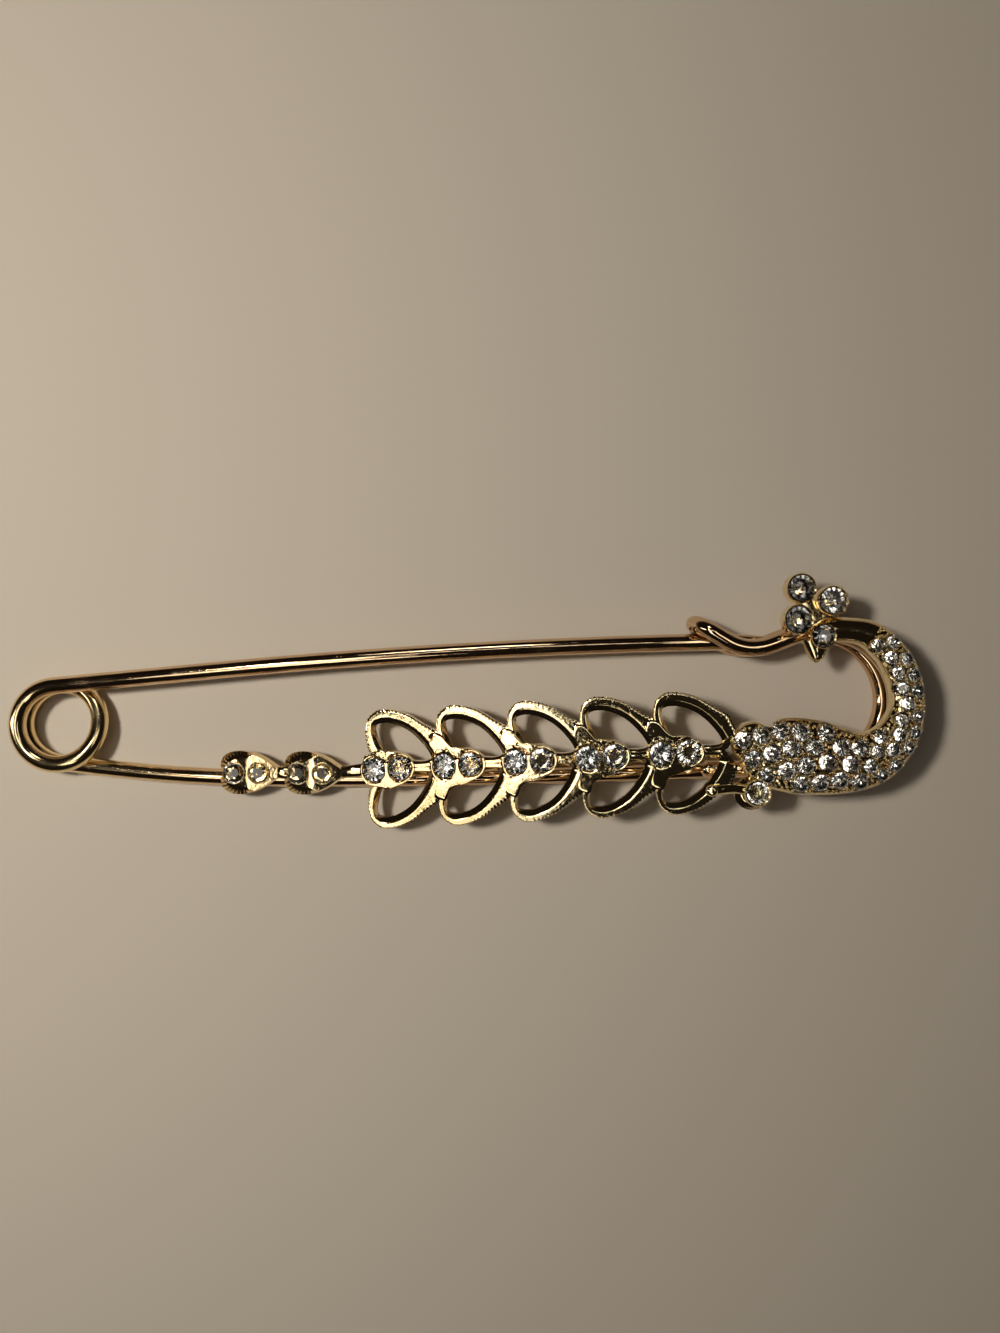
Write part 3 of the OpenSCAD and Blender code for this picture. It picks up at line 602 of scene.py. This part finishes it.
for k in range(2):
    shells.append(shell(heart + heart_place(k)))
    for i in range(2):
        spot = heart_place(k) + [heart_stone_x(i), 0, 0]
        shells.append(shell(round_body(ring_profile, spot, 56), "loop"))
    tip = heart_place(k) + [heart_l - 0.7, 0, 0]
    target = heart_place(0) + [0.45, 0, 0] if k else on_tail([[heart_gap, 0, 0.1]])[0]
    shells.append(shell(bar(tip, target, link_widths, link_heights)))
root = on_tail([[heart_gap - 0.3, 0, 0.05]])[0]
plate_edge = on_tail([[pair_u(0) - half_gap - stone_r + 0.1, 0, 0.05]])[0]
shells.append(shell(bar(root, plate_edge, [1.1, 1.15, 1.3], [1.05, 1.1, 1.1])))
make("solid_hearts", shells, [gold_look], "frame", "peacock", sharp=40)

# Body and neck. One full-bodied casting that swells at the breast and tapers up the neck to the head,
# soldered on the front strand's curve. Its crown is drilled with a pit for each of the small stones.
body_t, rim_t, bezel_t = 2.0, 0.8, 1.6
spine_rows = np.array([
    (-1.182, -0.588, 0.301, 0.8), (-0.942, -0.742, 0.473, 0.92), (-0.598, -0.777, 0.55, 1),
    (-0.254, -0.811, 0.541, 1), (0.055, -0.854, 0.49, 1), (0.364, -0.863, 0.421, 0.98),
    (0.639, -0.768, 0.378, 0.94), (0.863, -0.57, 0.318, 0.9), (1.009, -0.313, 0.275, 0.87),
    (1.069, -0.021, 0.235, 0.85), (1.043, 0.271, 0.235, 0.85), (0.923, 0.564, 0.229, 0.85),
    (0.742, 0.804, 0.215, 0.85), (0.502, 0.985, 0.198, 0.85), (0.21, 1.045, 0.18, 0.85),
    (-0.065, 1.036, 0.189, 0.88), (-0.187, 0.954, 0.175, 0.85),
])
crown_drop = np.array([0.12] * 15 + [0.18, 0.3])
pave_d, neck_pave_d, pave_gap, pave_edge, pave_net = 1.5, 1.2, 0.1, 0.12, 0.15
pave_start, pave_body_l, pave_end_row, pave_stop_short = -0.9, 9.5, 13, 0.3
pave_depth, pave_lift, slope_reach, heading_reach = 0.58, 0.04, 0.1, 0.5
pit_depth, pit_edge, pit_slope = 0.52, 0.08, 0.1
eye_share, eye_stone_d = (-0.187, 0.954), 1.8


def at_share(share):
    return curve_c + curve_r * np.array(share)


spine = np.hstack([
    curve_c + curve_r * spine_rows[:, :2], curve_r * spine_rows[:, 2:3], body_t * spine_rows[:, 3:],
])
spine_l = np.concatenate([[0], np.cumsum(np.linalg.norm(np.diff(spine[:, :2], axis=0), axis=1))])
pave_stop = spine_l[pave_end_row] - pave_stop_short


def crown_z(share):
    """Height of the crown, as a share of its height on the spine, at a share of its half width."""
    return (1 - np.minimum(np.abs(share), 1) ** 2) ** 0.58


def along_spine(s):
    """The spine's row at a length along it, on straight lines between its rows."""
    i = int(np.clip(np.searchsorted(spine_l, s, side="right") - 1, 0, len(spine_l) - 2))
    share = (s - spine_l[i]) / (spine_l[i + 1] - spine_l[i])
    return spine[i] * (1 - share) + spine[i + 1] * share


def on_crown(s, v):
    """x, y, z, heading and tilt of the crown at a length along the spine and a distance to its left."""
    row = along_spine(s)
    ahead = along_spine(s + heading_reach) - along_spine(s - heading_reach)
    heading = np.arctan2(ahead[1], ahead[0])
    x = v / row[2]
    fall = (crown_z(abs(x) - slope_reach) - crown_z(abs(x) + slope_reach)) * (row[3] - rim_t)
    tilt = np.arctan2(fall, 2 * slope_reach * row[2]) * np.sign(v) * (abs(x) >= slope_reach)
    z = body_z + rim_t + (row[3] - rim_t) * crown_z(x)
    return np.array([row[0] - v * np.sin(heading), row[1] + v * np.cos(heading), z, heading, tilt])


def spread(start, stop, size, kept, edge, gap):
    """Rows of x, y, z, heading, tilt and diameter: places on a fine net over the crown, of which each is
    added to those kept before where it is clear of them all by a gap."""
    for s in np.arange(start, stop + 1e-9, pave_net):
        d = size(s)
        for side in np.arange(-1, 1.001, 0.1):
            seat = on_crown(s, side * (along_spine(s)[2] - d / 2 - edge))
            if (np.hypot(*(kept[:, :2] - seat[:2]).T) >= (kept[:, 5] + d) / 2 + gap).all():
                kept = np.vstack([kept, [*seat, d]])
    return kept


def body_rings(pits):
    """The spine's lenses joined smoothly: across each place of the spine run an upright rim and a crown
    whose height is that of the crown's curve, with both ends drawn in along a quarter circle. Each pit,
    a place and a radius in plan and a depth, is pressed into the crown."""
    rows = curve(spine - [0, 0, 0, 1] * crown_drop[:, None], 16, closed=False)
    ahead = np.gradient(rows[:, :2], axis=0)
    ahead /= np.linalg.norm(ahead, axis=1, keepdims=True)
    caps = []
    for end, sign in ((0, -1), (-1, 1)):
        a = np.radians(np.linspace(4, 86, 18))[:, None]
        plan = rows[end, :2] + sign * rows[end, 2] * np.sin(a) * ahead[end]
        crown = rim_t + (rows[end, 3] - rim_t) * np.cos(a) ** 0.6
        caps.append(np.hstack([plan, rows[end, 2] * np.cos(a), crown, np.tile(ahead[end], (len(a), 1))]))
    rows = np.vstack([caps[0][::-1], np.hstack([rows, ahead]), caps[1]])
    inner = np.linspace(0.96, -0.96, 55)
    across = np.concatenate([[1, 1.0, 1.0, 0.99], inner, [-0.99, -1, -1, -1]])
    level = np.concatenate([[0, 0.06, 0.9, 1.0], np.ones(len(inner)), [1.0, 0.9, 0.06, 0]])
    side = np.stack([-rows[:, 5], rows[:, 4]], -1)
    plan = rows[:, None, :2] + (across[None, :] * rows[:, 2:3])[..., None] * side[:, None]
    pressed = np.zeros(plan.shape[:2])
    for x, y, r, depth in pits:
        apart = np.hypot(plan[..., 0] - x, plan[..., 1] - y)
        pressed = np.maximum(pressed, depth * np.clip((r + pit_edge - apart) / pit_slope, 0, 1))
    crown = (rows[:, 3:4] - rim_t) * crown_z(across) - pressed
    crown[:, :4] = crown[:, -4:] = 0
    return np.concatenate([plan, (body_z + level * rim_t + crown)[..., None]], -1)


def seated(points, seat):
    """Points turned with a seat's heading, leant by its tilt and moved to its place."""
    x, y, z = np.moveaxis(np.asarray(points, float), -1, 0)
    c, s = np.cos(-seat[4]), np.sin(-seat[4])
    y, z = y * c - z * s, y * s + z * c
    c, s = np.cos(seat[3]), np.sin(seat[3])
    return np.stack([seat[0] + x * c - y * s, seat[1] + x * s + y * c, seat[2] + z], -1)


seats = spread(
    pave_start, pave_stop, lambda s: pave_d if s < pave_body_l else neck_pave_d, np.zeros((0, 6)),
    pave_edge, pave_gap,
)
pits = [(x, y, d / 2, pit_depth) for x, y, d in seats[:, [0, 1, 5]]]
pits.append((*at_share(eye_share), eye_stone_d / 2, 1.0))
make("bird_body", [shell(body_rings(pits))], [gold_look], "frame", "peacock", sharp=50)

# Head. The neck ends in a smooth head with the eye set in a collar, a short beak, and a crest of three
# cups on thin bars. The cups are turned thin at the lip and closed over the stones' edges, and one has
# claws too.
bezel_wall, beak_l = 0.16, 2.3
crest_stone_d, foot_stone_d = 2.16, 1.86
crest_share = [(-0.507, 1.644), (-0.052, 1.464), (-0.546, 1.192)]
crest_root_share, crest_bar_widths, crest_bar_h = (-0.15, 1.1), [1.1, 1.0, 0.9, 0.9], 0.7
beak_tip_w, beak_more_w, beak_h, beak_hidden_l = 0.42, 0.85, 0.58, 0.4


def cup(share, d):
    """A stone's cup: an outer wall, a thin lip that leans in over the stone, an inner wall and a floor."""
    outer_r, inner_r = d / 2 + stone_gap + bezel_wall, d / 2 + 0.02
    profile = np.array([
        (0.01, 0), (outer_r * 0.8, 0), (outer_r * 0.96, 0.08), (outer_r, 0.3), (outer_r, 1.1),
        (outer_r * 0.99, 1.42), (outer_r - 0.05, 1.55), (outer_r - 0.11, bezel_t),
        (inner_r - 0.02, 1.57), (inner_r - 0.04, 1.5), (inner_r, 1.4), (inner_r, 0.7),
        (inner_r * 0.5, 0.5), (0.01, 0.5),
    ])
    return shell(round_body(profile, [*at_share(share), body_z], 48))


def claws(share, d, start, stop, n):
    """Small claws raised on a cup's lip at n steps of an angle."""
    claw = np.array([(0.06, -0.5), (0.13, -0.3), (0.15, 0), (0.1, 0.12), (0.03, 0.16)])
    spots = [(np.cos(a), np.sin(a)) for a in np.radians(np.linspace(start, stop, n))]
    places = [at_share(share) + (d / 2 + 0.12) * np.array(spot) for spot in spots]
    return [shell(round_body(claw, [*place, body_z + bezel_t], 10)) for place in places]


eye = at_share(eye_share)
shells = [cup(eye_share, eye_stone_d)] + [cup(share, crest_stone_d) for share in crest_share]
shells += claws(crest_share[1], crest_stone_d, -75, 60, 5)
for share in crest_share:
    ends = [np.array([*at_share(p), body_z + 0.1]) for p in (crest_root_share, share)]
    shells.append(shell(bar(*ends, crest_bar_widths, [crest_bar_h] * len(crest_bar_widths), 0.02)))
t = np.linspace(0, 1, 24)
beak_root = np.array([*eye, body_z]) + [-0.45, -0.35, 0.72]
beak_path = beak_root + t[:, None] * [0.06, beak_hidden_l - beak_l, -0.12]
beak_w = (beak_tip_w + beak_more_w * (1 - t)) * np.sqrt(np.clip((1 - t) / 0.2, 0.02, 1))
a = np.linspace(0, 2 * np.pi, 24, endpoint=False)
oval = np.stack([np.cos(a), np.sin(a)], -1)
side = np.tile([1.0, 0.0, 0.0], (len(t), 1))
shells.append(shell(sweep(beak_path, side, oval, beak_w, np.minimum(beak_w, beak_h))))
make("bird_head", shells, [gold_look], "frame", "peacock", sharp=40)

# Foot. A thin leg from the body ends in a clawed cup with one stone and a crescent beside it, and a toe
# reaches back over the last leaf to a small ball, all cast with the body.
foot_share, ankle_share = (-1.139, -1.311), (-1.0, -1.05)
toe_share = [(-1.32, -1.27), (-1.5, -1.245), (-1.792, -1.273)]
toe_root_z, toe_z, toe_bar_d, toe_ball_d = 0.6, 1.2, 0.95, 1.05
crescent_shift = [-0.3, -0.12]
shells = [cup(foot_share, foot_stone_d)] + claws(foot_share, foot_stone_d, -80, 45, 6)
ends = [np.array([*at_share(p), body_z + 0.1]) for p in (ankle_share, foot_share)]
shells.append(shell(bar(*ends, [1.5, 1.3, 1.3, 1.5], [0.8, 0.85, 0.85, 0.8])))
toe = curve(np.array([at_share(p) for p in (foot_share, *toe_share)]), 8, closed=False)
toe = np.c_[toe, np.linspace(body_z + toe_root_z, body_z + toe_z, len(toe))]
ahead = np.gradient(toe, axis=0)
side = np.cross([0, 0, 1], ahead / np.linalg.norm(ahead, axis=1, keepdims=True))
shells.append(shell(sweep(toe, side, oval, toe_bar_d / 2, toe_bar_d / 2)))
a = np.radians(np.linspace(-88, 88, 22))
ball = np.stack([np.cos(a) ** 0.6, np.sign(a) * np.abs(np.sin(a)) ** 0.6], -1) * toe_ball_d / 2
ball = round_body(ball, [0, 0, 0], 28)
shells.append(shell(seated(ball, [*toe[-1], np.pi / 2, 0.22])))
crescent = np.array([(0.7, 0.1), (1.42, 0.1), (1.42, 0.42), (1.2, 0.6), (0.95, 0.8), (0.7, 0.8)])
shells.append(shell(round_body(crescent, [*at_share(foot_share) + crescent_shift, body_z], 48), "loop"))
make("bird_foot", shells, [gold_look], "frame", "peacock", sharp=50)

# Cut stones. Clear glass brilliants with a flat table and a silvered back, pressed into their seats so
# that only the crown shows: four in the hearts, ten along the tail, and one each in the cups. The backs
# of the eye and of two crest stones are darker.
table_r, crown_h, girdle_h, pavilion_h, culet_r, mains = 0.58, 0.32, 0.08, 0.72, 0.12, 8
tail_stone_z = tail_t - stone_lip
golden_turn = 2.39996


def clear_glass():
    """Clear glass with a trace of wear on its facets."""
    paint = Paint("clear_glass", Transmission_Weight=1.0, IOR=1.56, Base_Color=(1, 1, 1, 1))
    place = paint.node("ShaderNodeTexCoord", {}, {}, 3)
    wear = paint.node("ShaderNodeTexNoise", {}, {"Vector": place, "Scale": 1800.0, "Detail": 2.0})
    return paint.shade(Roughness=paint.between(wear, 0.55, 0.8) * 0.06)


def foil(name, bright, dull):
    """The mirror coat on a stone's back, slightly uneven and clouded from a bright to a dull grey."""
    paint = Paint(name, Metallic=1.0)
    place = paint.node("ShaderNodeTexCoord", {}, {}, 3)
    cloud = paint.node("ShaderNodeTexNoise", {}, {"Vector": place, "Scale": 900.0, "Detail": 2.0})
    tone = paint.blend(cloud, (bright, bright, bright, 1), (dull, dull * 0.98, dull * 0.95, 1))
    return paint.shade(Base_Color=tone, Roughness=0.05 + cloud * 0.08)


glass_look = clear_glass()
stone_looks = [glass_look, foil("grey_foil", 0.75, 0.45)]
head_looks = [glass_look, foil("dark_foil", 0.42, 0.2)]


def brilliant(d, depth):
    """A round brilliant as points, triangles and each triangle's material: rings of points stand at the
    table, both edges of the girdle and the culet, and between two rings runs a belt of facets. Glass
    goes down to the girdle and foil covers what is below it."""
    rings = [
        (mains, table_r, crown_h, 0.5), (2 * mains, 1, 0, 0), (2 * mains, 1, -girdle_h, 0),
        (mains, culet_r, -girdle_h - depth, 0.5),
    ]
    points, triangles, looks, start = [], [], [], 0
    for index, (n, r, z, turn) in enumerate(rings):
        a = (np.arange(n) + turn) * 2 * np.pi / n
        points.append(np.stack([r * np.cos(a), r * np.sin(a), np.full(n, z)], -1) * d / 2)
        if index in (0, len(rings) - 1):
            i = np.arange(1, n - 1)
            fan = np.c_[np.zeros(n - 2, int), i, i + 1] + start
            triangles.append(fan[:, ::-1] if index else fan)
            looks.append(np.full(len(fan), int(index > 0)))
        if index < len(rings) - 1:
            m, low = rings[index + 1][0], start + n
            i, most = np.arange(max(n, m)), max(n, m)
            one, two = i * n // most, (i + 1) * n // most
            under, past = i * m // most, (i + 1) * m // most
            belt = np.vstack([
                np.c_[start + one % n, low + under % m, low + past % m][under != past],
                np.c_[start + one % n, low + past % m, start + two % n][one != two],
            ])
            triangles.append(belt)
            looks.append(np.full(len(belt), int(index == 2)))
        start += n
    return np.vstack(points), np.vstack(triangles), np.concatenate(looks)


def stone(name, d, node, number, place, looks=stone_looks):
    """One brilliant, turned and leant a little by its number as no two are set alike, and put in its
    place by a function."""
    points, triangles, kinds = brilliant(d * 1.02, pavilion_h)
    points = seated(points, [0, 0, 0, number * golden_turn, 0.05 * np.sin(number * 1.7)])
    cut = outward(place(points), np.zeros((0, 4), int), triangles)
    make(name, [cut], looks, "frame", node, kinds=[kinds], cut=(0, 1))


for i in range(2 * pair_n):
    spot = [pair_u(i // 2) + (i % 2 - 0.5) * pair_gap, 0, tail_stone_z]
    stone(f"tail_brilliant_{i + 1}", tail_stone_d, f"tail_stone_{i + 1}", i, lambda p: on_tail(p + spot))
for i in range(4):
    spot = heart_place(i // 2) + [heart_stone_x(i % 2), 0, heart_t - stone_lip]
    stone(f"heart_brilliant_{i + 1}", heart_stone_d, f"heart_stone_{i + 1}", i + 3, lambda p: p + spot)
cups = [("foot", foot_share, foot_stone_d), ("eye", eye_share, eye_stone_d)]
cups += [("crest", share, crest_stone_d) for share in crest_share]
for i, (name, share, d) in enumerate(cups):
    spot = [*at_share(share), body_z + bezel_t - stone_lip]
    number = f"_{i - 1}" if name == "crest" else ""
    looks = stone_looks if name + number in ("foot", "crest_2") else head_looks
    stone(f"{name}_brilliant{number}", d, f"{name}_stone{number}", i + 9, lambda p: p + spot, looks)

# Small stones. Clear glass chatons over the whole crown of body and neck, held by small beads raised
# from the casting, four to a stone where there is room and more where the gaps are wider.
bead_d, bead_gap = 0.32, 0.02
shells, kinds = [], []
for number, seat in enumerate(seats):
    points, triangles, looks = brilliant(seat[5] * 1.04, pave_depth)
    points = seated(points, [0, 0, pave_lift, number * golden_turn, 0])
    shells.append(outward(seated(points, seat), np.zeros((0, 4), int), triangles))
    kinds.append(looks)
beads = np.zeros((0, 6))
for seat in seats:
    for a in np.radians([45, 135, 225, 315]):
        place = seated((seat[5] / 2 + 0.07) * np.array([np.cos(a), np.sin(a), 0]), seat)
        taken = np.vstack([seats - [0, 0, 0, 0, 0, 0.04], beads])
        clear = np.hypot(*(taken[:, :2] - place[:2]).T) - taken[:, 5] / 2
        if clear.min() > 0:
            beads = np.vstack([beads, [*place, seat[3], seat[4], bead_d]])
filled = spread(pave_start - 0.4, pave_stop, lambda s: bead_d, np.vstack([seats, beads]), 0.1, bead_gap)
bead = np.array([(0.3, -0.9), (0.5, 0), (0.42, 0.4), (0.12, 0.62)]) * bead_d
for x, y, z, heading, tilt, d in filled[len(seats):]:
    shells.append(shell(round_body(bead, [x, y, z - 0.02], 7)))
    kinds.append(2)
make(
    "small_stones", shells, [glass_look, foil("silver_foil", 0.98, 0.86), gold_look], "frame",
    "pave_stones", kinds=kinds, cut=(0, 1),
)

# Floor, light and camera. A plain pale sheet under the pin, a hard lamp at the upper left and two soft
# ones that light it, level panels that only the metal mirrors, others that only the stones show, and a
# camera straight above the middle of the picture.
view_h, view_x, view_y = 90.0, 38.85, 5.12
floor_mesh = bpy.data.meshes.new("floor")
floor_corners = [(-0.6, -0.6, 0), (0.7, -0.6, 0), (0.7, 0.6, 0), (-0.6, 0.6, 0)]
floor_mesh.from_pydata(floor_corners, [], [(0, 1, 2, 3)])
floor = bpy.data.objects.new("floor", floor_mesh)
bpy.context.scene.collection.objects.link(floor)
floor_paint = Paint("pale_floor", Roughness=0.85, Base_Color=(0.68, 0.6, 0.5, 1))
floor_mesh.materials.append(floor_paint.material)


def panel(name, place, size, glow, colour, seen, turn=0):
    """An area light at a place in millimetres that faces down, turned in plan by an angle, whose
    brightness per area is glow and which only the named kinds of rays see."""
    light = bpy.data.lights.new(name, "AREA")
    light.shape, light.size, light.size_y = "RECTANGLE", size[0] / 1000, size[1] / 1000
    light.energy, light.color = 4 * glow * light.size * light.size_y, colour
    lamp = bpy.data.objects.new(name, light)
    lamp.location = np.array(place) / 1000
    lamp.rotation_euler = (0, 0, np.radians(turn))
    for ray in ("diffuse", "glossy", "transmission"):
        setattr(lamp, f"visible_{ray}", ray in seen)
    bpy.context.scene.collection.objects.link(lamp)


warm, white = (1, 0.95, 0.86), (1, 0.97, 0.92)
panel("key_lamp", (-49, 30, 170), (24, 24), 98, warm, ["diffuse"])
panel("near_fill", (0, 10, 130), (60, 60), 0.75, warm, ["diffuse"])
panel("soft_fill", (0, 0, 345), (230, 230), 0.15, warm, ["diffuse"])
panel("stone_key", (-42, 50, 240), (74, 74), 6, warm, ["transmission"])
panel("key_core", (-42, 50, 238), (22, 22), 25, warm, ["glossy"])
panel("left_mirror", (-30, -2, 300), (43, 86), 2.3, warm, ["glossy"])
panel("lower_mirror", (-30, -66, 300), (43, 40), 0.9, warm, ["glossy"])
panel("dim_mirror", (-75, -37, 300), (47, 30), 1.6, warm, ["glossy"])
panel("coil_mirror", (-32, -122, 300), (160, 34), 2.2, warm, ["glossy"], turn=-48.5)
panel("far_mirror", (-450, -15, 300), (520, 36), 4.5, warm, ["glossy"])
panel("arm_mirror", (6, 250, 300), (80, 70), 4.5, white, ["glossy"])
panel("top_mirror", (45, 62, 300), (105, 14), 2.6, white, ["glossy"])
panel("right_mirror", (123, 30, 300), (32, 120), 1.5, warm, ["glossy"])
sparkle_n, sparkle_r, sparkle_step = 14, 70, 15
for i in range(sparkle_n):
    a, r = i * golden_turn, sparkle_r + sparkle_step * i
    spot = (48 + r * np.cos(a), r * np.sin(a), 260)
    panel(f"sparkle_{i + 1}", spot, (38, 38), 7, warm, ["transmission"])
world = bpy.data.worlds.new("room")
world.use_nodes = True
tree = world.node_tree
way = tree.nodes.new("ShaderNodeTexCoord")
height = tree.nodes.new("ShaderNodeSeparateXYZ")
fade = tree.nodes.new("ShaderNodeMapRange")
horizon_glow, sky_glow, sky_from = 0.22, 0.008, 0.2
for index, value in enumerate((0, sky_from, horizon_glow, sky_glow), start=1):
    fade.inputs[index].default_value = value
tree.links.new(way.outputs["Generated"], height.inputs[0])
tree.links.new(height.outputs["Z"], fade.inputs["Value"])
tree.links.new(fade.outputs[0], tree.nodes["Background"].inputs["Strength"])
tree.nodes["Background"].inputs["Color"].default_value = (1, 0.78, 0.62, 1)
bpy.context.scene.world = world
bpy.context.scene.view_settings.view_transform = "Standard"
camera_data = bpy.data.cameras.new("camera")
camera_data.sensor_width, camera_data.lens = 36, 27
camera_data.clip_start, camera_data.clip_end = 0.001, 10
camera = bpy.data.objects.new("camera", camera_data)
camera.location = (view_x / 1000, view_y / 1000, view_h / 1000)
bpy.context.scene.collection.objects.link(camera)
bpy.context.scene.camera = camera
